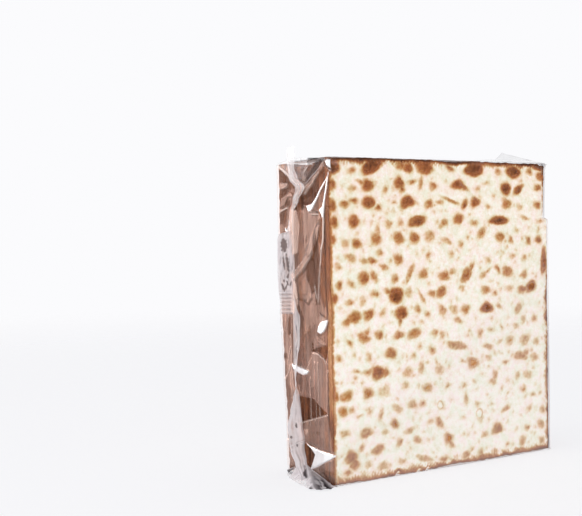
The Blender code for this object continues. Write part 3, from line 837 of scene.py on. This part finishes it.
# What stands out on the seen end, in mm from the middle of its foot, as (towards the back, up)
ends = {
    "tentRise": 2.4,       # mm that the seal pulls the film off the sheets
    "tentReach": 12,       # mm to each side of the seal
    "restsAt": {-1: 0.55, 1: 0.35},    # mm between film and sheets on the seen end, and on the other
    "rounding": 1.4,       # mm, of the film's edges
    "streaks": [(0.5, 0.035, 8, 4), (0.35, 0.05, 3, 5)],    # strength, stretch, mm wide, seed
    # how far towards the back it clings to the front rims, low down and high up, and mm up between them
    "clingsFrom": (-20.5, -16.5, 94, 108),
    # plies that the end's look answers to: mm up, then how many
    "veil": ([0, 12, 30, 60, 90, 108, 150, 180], [1.0, 1.4, 1.95, 2.2, 1.15, 0.8, 0.9, 0.85]),
    "facetShine": 0.5,     # share of a facet's plies that its look answers to
    # facets of the crumpled film: plies, milkiness, mm they stand out, and the corners of the outline
    "facets": [
        (0.5, 0, 0, [(27, 175), (22.7, 175), (8, 164.5), (16.4, 162), (23, 157.8), (27, 153)]),
        (0.6, 0, 0, [(21, 157.7), (14.2, 156.5), (15.2, 152), (20.7, 154.8)]),
        (0.5, 0, 0, [(27, 150.2), (18.6, 152), (18.6, 146.1), (20.3, 143.4), (27, 143.4)]),
        (3.2, 0.3, 0.5, [(27, 167.2), (17, 167), (18, 164), (26, 163.4)]),
        (2.6, 0.12, 0.6, [(26.5, 152.6), (23.5, 158.5), (13, 161.5), (9, 158.5), (17, 158.8), (20.5, 154)]),
        (2.4, 0.1, 0.7, [(-13.2, 177.1), (-20.3, 176.8), (-23.2, 174.2), (-17, 169.2), (-3.9, 159.5),
                         (-0.6, 160.2), (0.8, 164.2), (-2.6, 169.6)]),
        (0.2, 0, 0, [(0.5, 170.4), (-1.5, 169.7), (-0.2, 163.1), (1.8, 165.4)]),
        (0.2, 0, 0, [(4.6, 156.6), (-0.1, 159.7), (-2.2, 157.9), (-0.4, 153), (3.4, 152)]),
        (0.5, 0, -0.2, [(-21.6, 171.4), (-23.4, 170.5), (-12.4, 156.6), (-9, 154), (-4, 153), (2.6, 154),
                        (-4, 159)]),
        (1.5, 0.04, 0, [(-12.3, 154), (-22.1, 164.6), (-18.7, 151.6), (-9.2, 149.7)]),
        (2.6, 0.1, 0.5, [(0, 150), (-7, 150.5), (-16, 148.5), (-19, 145.5), (-12, 141), (-9, 122),
                         (0, 130)]),
        (0.8, 0, 0, [(-13, 144), (-18.6, 145.2), (-17.4, 131), (-13.6, 133)]),
        (3.4, 0.2, 0.7, [(10.3, 113.8), (1.5, 121.6), (-4.8, 128.8), (-8.9, 136), (-12.4, 142),
                         (-17.5, 146), (-13.3, 131), (-7, 124.5), (-0.6, 118), (8.1, 111.6)]),
        (0.4, 0, 0, [(-12.8, 138), (-15.2, 126), (-14.8, 104), (-11.2, 98), (-9.4, 113), (-10, 128)]),
        (0.6, 0, 0, [(-21, 128), (-16.5, 126), (-15.5, 104), (-18.5, 96), (-21, 98)]),
        (0.25, 0, -0.2, [(-1.5, 118), (-6.8, 123.5), (-9.6, 126.5), (-10.5, 122), (-10.5, 106),
                         (-7.5, 104), (-5, 109), (-1.8, 115.2)]),
        (2.4, 0.1, 0.4, [(-1.5, 115), (-4.6, 109), (-6.5, 106), (-7.5, 102), (-2.9, 98), (2.3, 100.7),
                         (2.7, 111)]),
        # the next two are painted light: they brighten the film beside the seal strip, where the strip
        # shades it
        (5, 0.42, 0, [(14, 151), (6, 151), (4, 142), (5.5, 127), (14, 125)]),
        (6, 0.5, 0, [(14, 117), (8, 115), (6, 100), (8, 93), (14, 93)]),
        (0.7, 0, 0, [(19.5, 88), (13.6, 91), (12.8, 80), (15, 77.5), (18, 80)]),
        (0.6, 0, 0, [(27, 68.8), (20.2, 69), (20, 65.2), (27, 65)]),
        (2.2, 0.16, 0.7, [(-14.2, 94), (-22.5, 91), (-17, 88), (-14, 87.4)]),
        (2.2, 0.1, 0.3, [(-12, 80), (-19.8, 76.4), (-12.4, 74.8)]),
        (0.4, 0, -0.3, [(-4.5, 72), (-12.4, 74.6), (-23.6, 77), (-20.1, 69), (-19.3, 66.5), (-17.3, 69.8),
                        (-13, 71.5)]),
        (2.3, 0.06, 0.3, [(2, 59), (-6.4, 71), (-13, 71.1), (-18, 68.8), (-20.2, 65.9), (-21, 58),
                          (-21, 39.5), (-11.3, 43.3), (-6.9, 45.5), (2, 46)]),
        (0.3, 0, -0.3, [(6.7, 46), (-6.9, 45.5), (-11.3, 43.3), (-20.5, 39.2), (-18.3, 38), (-0.5, 32.6),
                        (5.2, 30.6)]),
        (2.1, 0.08, 0.3, [(2, 29), (-0.5, 32.2), (-20.6, 38.2), (-25, 19), (-10.4, 19.5), (-1, 22)]),
        (0.3, 0, -0.3, [(3.6, 20), (0, 21.6), (-6.7, 18), (-8, 14.6), (-5.6, 8), (-3.6, 5.6), (2.6, 11)]),
        (2.6, 0.16, 0.4, [(26, 18), (20.5, 18.6), (12.2, 5.4), (26, 2.5)]),
        (2.2, 0.12, 0.6, [(-28, 16.5), (-13, 9.4), (-7, 6), (-9, 4.6), (-17, 6.8), (-28, 8)]),
        (0.8, 0, 0.3, [(-28, 8), (-17, 6.8), (-9, 4.6), (-6, 0), (-28, 0)])],
    # painted highlights: folded corners and slivers made to shine, mirroring fully and milky white
    "glints": [
        [(-25.3, 168.6), (-12.4, 156.4), (-8.6, 153.6), (-3.4, 152.9), (-4.6, 150.9), (-6.4, 149.6),
         (-9.3, 151.2), (-12.8, 155)],
        [(-25.9, 171.4), (-21, 156), (-19.7, 152.1), (-15.8, 150.1), (-17, 149.2), (-19.5, 147),
         (-20.4, 145.4), (-21.7, 155), (-24, 163)],
        [(-23, 176.2), (-25.3, 177.2), (-28, 176.8), (-28, 173.5), (-26.6, 172.4), (-24.6, 174)],
        [(20.4, 141), (18.6, 140.6), (16.2, 138.6), (18.8, 139)],
        [(-12.9, 83.2), (-14.1, 86.8), (-18.7, 89.5), (-22.8, 90.2), (-21.3, 86.8), (-18.9, 84),
         (-15.5, 82.6)],
        [(12.1, 63.4), (5.7, 62.1), (0.8, 61), (-2.4, 60.6), (-0.4, 58.9), (3, 58), (6.9, 58.9),
         (11, 60.6)],
        [(-0.3, 20.7), (-4.5, 18.6), (-9.5, 17.9), (-18, 17.6), (-27.8, 17.5), (-23, 14.8), (-16.4, 11.6),
         (-10, 8.4), (-4, 5.8), (-5.6, 9.5), (-6.8, 12.6), (-7.2, 14.8), (-4.6, 17.6)]],
    # folds, partly whitened creases and partly painted highlights: half the width of the line and how milky
    # it is, then its points
    "folds": [
        (0.6, 0.8, [(26.8, 176.9), (17.6, 172.3), (4.5, 164.8)]),
        (0.45, 0.6, [(26.8, 150.6), (18.5, 152.8)]), (0.4, 0.6, [(-6.7, 176), (-0.5, 171.2)]),
        (0.25, 0.5, [(-17.5, 170.8), (-3.9, 159.5)]), (0.25, 0.5, [(-15.3, 170.9), (-1.8, 160.2)]),
        (0.35, 0.5, [(-9.2, 148), (-16, 147.9)]), (0.6, 0.85, [(-20, 146.5), (-19.6, 134), (-17.7, 129)]),
        (0.55, 0.6, [(-17.7, 129), (-16.2, 120)]), (0.6, 0.35, [(-16.2, 120), (-14.5, 113), (-13.3, 100)]),
        (0.4, 0.45, [(10.3, 113.8), (1.5, 121.6), (-8.9, 136)]), (0.35, 0.35, [(8.1, 111.6), (-7, 124.5)]),
        (0.5, 0.45, [(-9.9, 108.6), (-11.9, 101.8)]), (0.35, 0.35, [(20, 82), (16.5, 92)]),
        (0.35, 0.35, [(19, 63), (14.5, 73)]), (0.5, 0.75, [(14.4, 79.2), (14.1, 78.6)]),
        (0.4, 0.4, [(14.7, 62.4), (24.8, 52.6)]),
        (0.35, 0.35, [(-6.4, 71), (-13, 71.1), (-18, 68.8), (-20.2, 65.9)]),
        (0.4, 0.4, [(5, 30.3), (-0.5, 32.3), (-20.4, 38.4)]), (0.3, 0.3, [(-3.4, 57), (-4.2, 31)]),
        (0.3, 0.22, [(-8.6, 66), (-9, 33)]), (0.35, 0.32, [(-12.2, 66), (-12.6, 34)]),
        (0.3, 0.2, [(3, 57), (2.6, 47)]), (0.5, 0.1, [(-21, 62), (-21, 40)]),
        (0.4, 0.3, [(-5, 6), (-15, 1)]), (0.35, 0.35, [(-9, 7), (-24, 1.5)]),
        (0.35, 0.3, [(-2, 4), (-7, 0.5)])],
    # dark lines beside them, likewise
    "shadows": [
        (0.35, 0.5, [(-0.8, 22), (-5, 20.3), (-10.4, 19.5), (-18, 18.9), (-27, 18.8)]),
        (0.35, 0.4, [(-5.5, 5.3), (-8, 5.6), (-13.2, 8.4), (-17.6, 11), (-24, 14.2)]),
        (0.5, 0.5, [(4, 158.5), (-1.5, 160.6), (-3.4, 162.4)]),
        (1.0, 0.85, [(-17.7, 177.8), (-22.7, 177.6)]),
        (0.5, 0.7, [(-21.7, 174.7), (-26.4, 171.8)]), (0.9, 0.4, [(-16, 176), (-10.5, 172.5), (-6, 168)]),
        (0.35, 0.7, [(-16.5, 88.9), (-21.8, 90.6)]), (0.3, 0.5, [(11.6, 64.4), (5.8, 63), (-0.6, 61.8)]),
        (0.4, 0.6, [(-6, 149.3), (-15, 149)]), (0.45, 0.5, [(14.6, 48.6), (14.4, 44.6)]),
        (0.5, 0.4, [(8.8, 179), (8.6, 174), (6.5, 169.4)]), (0.5, 0.4, [(-1.4, 168.2), (5, 168.4)]),
        (1.2, 0.35, [(-16, 6), (-22, 2)]), (4.5, 0.42, [(-25, 1.5), (-7, 0.5)]),
        (0.35, 0.7, [(-4.2, 5), (-10, 7.6), (-16.4, 10.9)])],
}


def crumpledEnd(y, z, streaks, veil, plies, milk, out):
    # the folds, facets and glints of the seen end
    shade = np.zeros(len(y))
    low, high, start, full = ends["clingsFrom"]
    rim = blend(low, high, smooth(start, full, z))
    bare = smooth(rim, rim - 1.5, y) * smooth(14, 21, z)
    plies = plies * (1 - bare * (0.6 + 0.35 * smooth(98, 112, z)))
    milk = milk * (1 - bare)
    plies = plies * (1 - 0.35 * smooth(12, 16, y) * smooth(28, 36, z) * smooth(94, 84, z))
    for level, milky, rise, outline in ends["facets"]:
        within = smooth(-0.5, 0.4, insideOf(y, z, outline))
        plies = blend(plies, ends["facetShine"] * level * veil * (1 + 0.3 * streaks), within)
        milk = blend(milk, 0.6 * milky * (1 + 0.5 * streaks), within)
        out = out + rise * within
    for line, milky in eachFold(y, z, ends["folds"]):
        out = out + 0.35 * line
        milk = np.maximum(milk, milky * line)
    for line, dark in eachFold(y, z, ends["shadows"]):
        milk = np.maximum(milk, dark * line)
        shade = np.maximum(shade, line)
    # painted highlights: each glint's outline mirrors fully and is milky white
    for outline in ends["glints"]:
        within = smooth(-0.4, 0.3, insideOf(y, z, outline))
        plies = blend(plies, 12, within)    # many plies, which mirror fully
        milk = blend(milk, 0.35, within)
        shade = shade * (1 - within)
        out = out + 0.8 * within
    return plies, milk, shade, out


def endFilm(side, material):
    # the film across one end; side is -1 for the seen end and 1 for the other
    deep, high = halfDepth + 0.1, stackHeight + 0.4
    bm = evenGrid(round(2 * deep / film["endSpacing"]), round(high / film["endSpacing"]))
    seed = 400 if side < 0 else 450

    def shape(u, flat, v):
        y, z = (2 * u - 1) * deep, v * high
        toEdge = np.minimum(deep - abs(y), np.minimum(z, high - z))
        hem = smooth(deep - 3, deep - 1.4, y)
        y = leant(y, z)
        tent = ends["tentRise"] * np.maximum(1 - abs(y - sealRoot(z, side)) / ends["tentReach"], 0) ** 1.5
        folds = 0.6 * creases(y, z * 0.35, 17, seed + 2, 3) + 0.12 * creases(y, z * 0.5, 6, seed + 3)
        out = ends["restsAt"][side] + (tent + folds + 0.3) * smooth(0, 9, toEdge)
        streaks = sum(strength * waves(y, z * stretch, wide, seed + more)
                      for strength, stretch, wide, more in ends["streaks"])
        veil = softened(z, *ends["veil"])
        plies = veil * (1 + 0.45 * streaks + 0.3 * creases(y, z * 0.2, 14, seed + 6))
        milk = 0.015 + 0.02 * streaks
        shade = 0
        if side < 0:
            plies, milk, shade, out = crumpledEnd(y, z, streaks, veil, plies, milk, out)
        plies = np.maximum(plies * (1 - 0.8 * hem), 0.3)
        out = np.maximum(np.maximum(out, 0.35) - fallBack(toEdge, ends["rounding"]), -0.6)
        return tucked(side * (halfWidth + out), y, z), y, z, plies, milk * (1 - hem), shade
    return finishFilm(bm, "film_end_left" if side < 0 else "film_end_right", material, shape)


# The crimped end seal stands off the end as a strip, twisted and folded over. On the seen end its fold
# parts it in two. Stations up its length: mm up, place of its root, degrees turned to the back, width,
# milkiness
seal = {
    "low": [(1.5, -4, -18, 9, 0.75), (10, 0, -15, 9, 0.75), (17, 2, 4, 9, 0.75), (22, 1.4, 25, 9, 0.75),
            (30, 3.7, 8, 9, 0.9), (38, 5, -16, 9, 1.0), (46, 6.3, -32, 8.5, 1.0), (53, 11, -66, 8, 0.8),
            (63, 12.4, -72, 8, 0.75), (75, 11.8, -84, 8.5, 0.7), (90, 11.7, -86, 8, 0.7),
            (98, 11.6, -80, 5.5, 0.7), (105, 11.6, -75, 3, 0.75), (112, 11.6, -70, 1.2, 0.75)],
    "high": [(92, 9.8, 50, 8.2, 0.45), (98, 9.9, 50, 8.5, 0.5), (105, 9.2, 42, 9.3, 0.8),
             (117, 8.9, 36, 9.7, 0.9), (134, 9.2, 38, 9.4, 1.0), (137, 9.2, 45, 9, 0.9),
             (139.5, 9.2, 80, 6, 0.4), (143, 9.2, 88, 5.5, 0.25), (150, 9, 98, 5.5, 0.25),
             (156, 3.4, 96, 8, 0.3), (163.5, -3.4, 88, 9, 0.4), (169, 3.5, 88, 9, 0.45),
             (175, 7.1, 92, 8, 0.5), (187, 7, 92, 8, 0.4)],
    "plain": [(1.5, 7, 58, 9, 0.5), (50, 5.5, 40, 9, 0.45), (110, 8, 75, 8.5, 0.55),
              (180, 6.5, 50, 9, 0.5)],
    "partsAt": 100,            # mm up where the low part gives way to the high one
    "crimped": (90, 104),      # mm up where the crimped ribs show on the high part
    "crimpPitch": 2.15,        # mm from rib to rib
    "crimpDepth": 0.25,
    "crimpShade": 0.55,
    "standOff": 2.2,           # mm from the sheets' end to the strip's root
    "columns": 28,             # of faces across its width
    "plies": (1.5, 2.2, 50, 72),    # everywhere, and how many more low down, between these mm up
    "gathered": (0.4, 2.6),    # the gathers that run up it: how milky, and mm apart
    "crumpled": (103, 108, 133, 137, 0.4),    # mm up where it is crumpled round the slits, and how dark its painted shade is
    "slitMilk": 0.75,
    "slitShade": 0.85,
    # slits and holes, painted dark as shade: mm up, share of the width, half their height in mm,
    # half their width as a share, and how far each leans, as a share for each mm up
    "slits": [(131.3, 0.6, 4.2, 0.2, 0), (121, 0.62, 4.6, 0.06, 0.013), (120.8, 0.41, 6, 0.09, 0.013),
              (113.6, 0.4, 1.5, 0.08, -0.02), (109.8, 0.44, 1.4, 0.06, 0.03),
              (109.3, 0.24, 1.5, 0.06, -0.03), (107.4, 0.72, 2.8, 0.07, 0.03),
              (107, 0.56, 2, 0.06, -0.05), (111, 0.64, 0.9, 0.06, 0)],
    "lowSlits": [(29.5, 0.4, 1.6, 0.07, 0), (23.3, 0.85, 0.9, 0.08, 0), (19.3, 0.5, 1.4, 0.06, 0),
                 (83, 0.55, 4, 0.06, 0), (71, 0.5, 5, 0.05, 0)],
    "crease": (21.2, -0.3),    # a hard fold across it: mm up at the root, and its slope
}


def sealRoot(z, side):
    # how far towards the back the seal stands
    parts = [seal["plain"]] * 2 if side > 0 else [seal["low"], seal["high"]]
    low, high = (softened(z, [s[0] for s in part], [s[1] for s in part]) for part in parts)
    return np.where(z < seal["partsAt"], low, high)


def sealStrip(name, part, slits, side, material):
    marks = [s[0] for s in part]
    low, high = marks[0], marks[-1]
    bm = evenGrid(seal["columns"], round((high - low) / film["sealSpacing"]))
    seed = 500 + 20 * len(part)
    isHigh, isPlain = part is seal["high"], part is seal["plain"]

    def shape(u, flat, v):
        z = low + v * (high - low)
        root, turned, wide, milky = (softened(z, marks, [s[k] for s in part]) for k in (1, 2, 3, 4))
        start, end = seal["crimped"]
        crimped = isPlain + isHigh * smooth(-1, 1, z - start) * smooth(3, -1, z - end)
        turn = np.radians(turned)
        across = u * wide
        rib = (1 - abs(z / seal["crimpPitch"] % 1 * 2 - 1) * 2) * smooth(0.1, 0.3, u) * crimped
        curl = 0.8 * creases(across, z * 0.5, 9, seed + 3) + 0.3 * creases(across, z, 4, seed + 4)
        start, slope = seal["crease"]
        fold = bell(z - start - slope * across, 0.5) * (part is seal["low"])
        off = seal["crimpDepth"] * rib + curl * smooth(0, 0.4, u) + 0.6 * fold
        x = -(seal["standOff"] + across * np.cos(turn)) + off * np.sin(turn)
        y = root + across * np.sin(turn) + off * np.cos(turn)

        everywhere, more, full, gone = seal["plies"]
        plies = everywhere + 0.6 * creases(across, z, 6, seed + 6) + more * smooth(gone, full, z)
        milkier, apart = seal["gathered"]
        gathers = waves(across, z * 0.12, apart, seed + 7)
        milk = milky * (1 + 0.15 * rib + milkier * gathers * (1 - 0.8 * crimped))
        rims = bell(across, 0.5) + bell(wide - across, 0.5)
        milk = np.maximum(milk, rims * (0.6 + 0.3 * gathers))
        # painted shade: dark in the valleys between the crimped ribs, among the crumpled feathers and in
        # the slits
        shade = seal["crimpShade"] * crimped * smooth(0.3, -0.7, rib) * (1 - smooth(0.2, 0.8, rims))
        start, full, fading, end, dark = seal["crumpled"]
        crumpled = isHigh * smooth(start, full, z) * smooth(end, fading, z) * smooth(0.95, 0.8, u)
        feathers = smooth(0.1, 0.7, waves(across * 2.2 + 0.12 * z, z * 0.25, 2.6, seed + 9))
        shade = np.maximum(shade, dark * feathers * crumpled)
        ragged = 0.15 * waves(across, z, 2.4, seed + 8)
        for middle, share, reach, spread, lean in slits:
            aside = (u - share - lean * (z - middle)) / spread
            cut = smooth(1.15, 0.75, np.hypot((z - middle) / reach, aside) + ragged)
            milk = blend(milk, seal["slitMilk"], cut)
            shade = np.maximum(shade, seal["slitShade"] * cut)
        return side * (halfWidth - x), y, z, plies, np.maximum(milk, fold), shade * (1 - fold)
    return finishFilm(bm, name, material, shape)


# Loose ears where the tube's top and foot are gathered into the seal: each is a tent between two corners of
# the end, which are rise mm up, the low point on the seal where its folds meet, and the tips of its free
# edge. Places are mm out from the end, towards the back, and up. veil is how many plies it answers to. Its
# bands are how milky and how dark it is inside an outline, whose corners are mm towards the back and mm up
# less mm out. The dark of the left ears' bands is painted shade, and on the top right it greys the film;
# the foot's milkiest band is a painted highlight.
ears = {
    "top left": {"low": (2.4, -0.5, 162), "tips": [(3.2, 8.5, 180.5)], "rise": stackHeight, "side": -1,
                 "veil": 0.35, "milk": 0.03, "seed": 600,
                 "bands": [(0.25, 0.4, [(12, 176), (-6, 176), (-3.5, 168), (2, 165), (9, 170)]),
                           (0.5, 1.0, [(-8, 180), (-21, 177), (-20.2, 170), (-5.4, 158.4), (-2.4, 158.4),
                                       (-6, 167)])]},
    "foot left": {"low": (3, 0, 9), "tips": [(8, 12, 0.8), (14, -12, 0.8), (12.5, -26.5, 0.6),
                                             (6.5, -29.3, 0.6)],
                  "rise": 0.3, "side": -1, "veil": 0.7, "milk": 0.1, "seed": 620,
                  "bands": [(1.0, 1.0, [(-8, 6), (-13, -3), (-21, -9), (-20, -14), (-32, -14), (-32, 6)]),
                            (0.85, 0.95, [(1, 7), (-8, 7), (-14, -4), (-12, -6), (-6, -4)]),
                            (0.8, 0.85, [(25, 4), (16, 5), (11, 2), (9, -2), (12, -5), (18, -5), (25, -2)]),
                            (0.9, 0.0, [(-13.5, -2.4), (-15.5, -5), (-20.5, -9.6), (-18, -11), (-15, -7)]),
                            (0.85, 0.0, [(6, 1), (5, -8), (-4, -9), (-4.5, -1)]),
                            (0.6, 0.1, [(-18, -3), (-29, -8.4), (-29, -9.4), (-18, -4.2)]),
                            (0.5, 0.1, [(-12, 2), (-27, -6), (-27, -6.8), (-12, 1.2)])]},
    "top right": {"low": (3.2, 5, 156), "tips": [(2.4, 17, 189)], "rise": stackHeight, "side": 1,
                  "veil": 0.3, "milk": 0.06, "seed": 640,
                  "bands": [(0.07, 1.0, [(-40, 140), (40, 140), (40, 200), (-40, 200)])]},
    "foot right": {"low": (3.4, 5, 18), "tips": [(10, 4, 0.8)], "rise": 0.3, "side": 1,
                   "veil": 1.6, "milk": 0.1, "seed": 660, "bands": []},
}


def earTent(name, ear, material):
    side, seed, rise = ear["side"], ear["seed"], ear["rise"]
    inset, backwards = 0.4, float(leaning(np.array([rise]))[0])
    front, back = (0.3, inset - halfDepth, rise), (0.3, halfDepth - inset + backwards, rise)
    bm = bmesh.new()
    low = bm.verts.new(ear["low"])
    rim = [bm.verts.new(place) for place in [back] + ear["tips"] + [front]]
    for start, end in zip(rim, rim[1:]):
        bm.faces.new((low, start, end))
    bm.faces.new(rim[::-1])
    bmesh.ops.triangulate(bm, faces=bm.faces)
    bmesh.ops.subdivide_edges(bm, edges=bm.edges, cuts=30, use_grid_fill=True)

    def shape(out, y, z):
        held = smooth(0, 5, out)    # 0 where it stays on the end
        fold = 1.1 * creases(y + out, z - out, 15, seed + 1, 3) + 0.35 * creases(y, z + out, 6, seed + 2)
        x = side * (halfWidth + 0.6 + np.maximum(out + fold * held, 0.2))
        plies = ear["veil"] * (1 + 0.45 * creases(y, z, 7, seed + 3))
        milk = ear["milk"] * (1 + 0.8 * waves(y + out, z, 6, seed + 4))
        crumple = creases(y, z + out, 8, seed + 7)
        ragged = 0.8 * waves(y, z - out, 5, seed + 8)
        shade = 0
        # painted shade where a band is dark, and a painted highlight in the foot's milkiest band
        for milky, dark, outline in ear["bands"]:
            within = smooth(-0.8, 0.8, insideOf(y, z - out, outline) + ragged)
            milk = blend(milk, milky * (1 + 0.5 * crumple), within)
            shade = blend(shade, dark, within)
            plies = plies * (1 - 0.7 * dark * within)
        # the milky crests are partly whitened creases and partly a painted highlight
        lines = smooth(0.42, 0.6, crumple) * (1 - 0.7 * shade)    # the crests of its folds
        milk = blend(milk, 0.5, lines)
        shade = shade * (1 - lines)
        for corner in (front, back):
            line = foldLine(y, z, ear["low"][1:], corner[1:], 0.5)
            milk = np.maximum(milk, 6 * ear["milk"] * line)
            shade = shade * (1 - line)
        z = z + 0.7 * creases(y, out * 2, 9, seed + 5) * held
        y = y + 0.6 * creases(out, z, 8, seed + 6) * held
        return x, y, np.maximum(z, 0.1), plies, milk, shade
    return finishFilm(bm, "film_ear_" + name.replace(" ", "_"), material, shape)


def makeFilm():
    name = "clear polypropylene film"
    material = filmMaterial(name, film["plain"], film["milk"], film["litThrough"])
    warm = filmMaterial(name + " against toasted rims", film["warm"], film["warmMilk"], 0.0)
    wrapTube(material)
    for side in (-1, 1):
        endFilm(side, warm)
    sealStrip("film_seal_left_low", seal["low"], seal["lowSlits"], -1, material)
    sealStrip("film_seal_left_high", seal["high"], seal["slits"], -1, material)
    sealStrip("film_seal_right", seal["plain"], [], 1, material)
    for name, ear in ears.items():
        earTent(name, ear, material)
    print("clear wrap made")


room = {
    "floorReach": 1.5,     # metres
    "fades": (0.3, 1.455),    # metres out where the floor starts to fade into the pale room, and is gone
    "floor": "#fafafc",
    "horizon": "#fbfbfd",
    "ceiling": "#8c8c92",
    "darkens": (0.38, 0.8),    # how high it starts to darken, and is as dark as the ceiling
    "brightness": 1.0,
    "glowShare": 0.7,      # how much of the floor's light comes from below
    "floorGlow": 1.06,
}


def makeRoom():
    bm = bmesh.new()
    bmesh.ops.create_circle(bm, cap_ends=True, cap_tris=True, segments=96, radius=room["floorReach"])

    # matt white acrylic with lamps under it, which leaves only faint, soft shadows
    made, tree = newMaterial("white acrylic lit from below")
    where = addNode(tree, "ShaderNodeTexCoord").outputs["Object"]
    reach = addNode(tree, "ShaderNodeVectorMath", {"operation": "LENGTH"}, {0: where})
    start, end = room["fades"]
    fade = addNode(tree, "ShaderNodeMapRange", {"interpolation_type": "SMOOTHSTEP"}, {
        "Value": reach.outputs["Value"], "From Min": start, "From Max": end})
    white = linear(room["floor"])
    matt = addNode(tree, "ShaderNodeBsdfDiffuse", {}, {"Color": white})
    glow = addNode(tree, "ShaderNodeEmission", {}, {"Color": white, "Strength": room["floorGlow"]})
    lit = addNode(tree, "ShaderNodeMixShader", {}, {
        "Fac": room["glowShare"], 1: matt.outputs["BSDF"], 2: glow.outputs["Emission"]})
    gone = addNode(tree, "ShaderNodeBsdfTransparent")
    surface = addNode(tree, "ShaderNodeMixShader", {}, {
        "Fac": fade.outputs["Result"], 1: lit.outputs["Shader"], 2: gone.outputs["BSDF"]})
    addNode(tree, "ShaderNodeOutputMaterial", {}, {"Surface": surface.outputs["Shader"]})
    floor = meshObject(bm, "floor", made)
    floor.location.z = stackLow.z - 0.1 * mm    # just under the stack

    # a pale room that darkens overhead, so that the film has something to mirror
    world = bpy.data.worlds.new("pale room")
    world.use_nodes = True
    tree = world.node_tree
    tree.nodes.clear()
    where = addNode(tree, "ShaderNodeTexCoord").outputs["Generated"]
    up = addNode(tree, "ShaderNodeSeparateXYZ", {}, {"Vector": where})
    start, full = room["darkens"]
    height = addNode(tree, "ShaderNodeMapRange", {"interpolation_type": "SMOOTHSTEP"}, {
        "Value": up.outputs["Z"], "From Min": start, "From Max": full})
    tone = addNode(tree, "ShaderNodeMix", {"data_type": "RGBA"}, {
        "Factor": height.outputs["Result"], 6: linear(room["horizon"]), 7: linear(room["ceiling"])})
    light = addNode(tree, "ShaderNodeBackground", {}, {
        "Color": tone.outputs[2], "Strength": room["brightness"]})
    addNode(tree, "ShaderNodeOutputWorld", {}, {"Surface": light.outputs["Background"]})
    bpy.context.scene.world = world
    print("room made")


# place in metres, what it points at, size, watts, colour, whether it lights matt surfaces, and glossy ones
lamps = {
    "front softbox": ((0.4, -1.2, 0.08), (0, 0, 0.06), (1.0, 0.16), 2.8, "#ffffff", True, False),
    "left softbox": ((-1.2, -0.15, 0.25), (-0.08, 0, 0.05), (1.0, 0.8), 5.0, "#ffffff", True, False),
    "overhead softbox": ((0.0, 0.1, 1.25), (0, 0.1, 0), (1.4, 1.4), 3.4, "#ffffff", True, True),
    "rear card": ((-0.85, 0.85, 0.2), (0, 0, 0.1), (1.4, 0.9), 6.5, "#ffffff", False, True),
}


def makeLamps():
    for name, (place, aim, size, watts, hexCode, matt, gloss) in lamps.items():
        lamp = bpy.data.lights.new(name, "AREA")
        lamp.shape = "RECTANGLE"
        lamp.size, lamp.size_y = size
        lamp.energy = watts
        lamp.color = linear(hexCode)[:3]
        holder = addObject(name, lamp)
        holder.location = place
        holder.rotation_euler = (Vector(aim) - Vector(place)).to_track_quat("-Z", "Y").to_euler()
        holder.visible_camera = False
        holder.visible_diffuse = matt
        holder.visible_glossy = gloss
    print("lamps made")


view = {
    "place": (-0.3695, -0.4662, 0.1344),    # metres
    "turn": -31.03,      # degrees round from straight ahead
    "lookDown": 1.08,
    "roll": -1.14,
    "lens": 60.6,        # mm
    "sensor": 36,
}


def makeCamera():
    camera = bpy.data.cameras.new("camera")
    camera.lens = view["lens"]
    camera.sensor_width = view["sensor"]
    camera.clip_start = 0.01
    holder = addObject("camera", camera)
    turn = Matrix.Rotation(math.radians(view["turn"]), 4, "Z")
    tilt = Matrix.Rotation(math.radians(90 - view["lookDown"]), 4, "X")
    roll = Matrix.Rotation(math.radians(view["roll"]), 4, "Z")
    holder.matrix_world = Matrix.Translation(view["place"]) @ turn @ tilt @ roll
    scene = bpy.context.scene
    scene.camera = holder
    scene.view_settings.view_transform = "Standard"
    scene.cycles.transparent_max_bounces = 32    # light passes many plies of film
    print("camera made")


makeSheets()
makeFilm()
makeRoom()
makeLamps()
makeCamera()
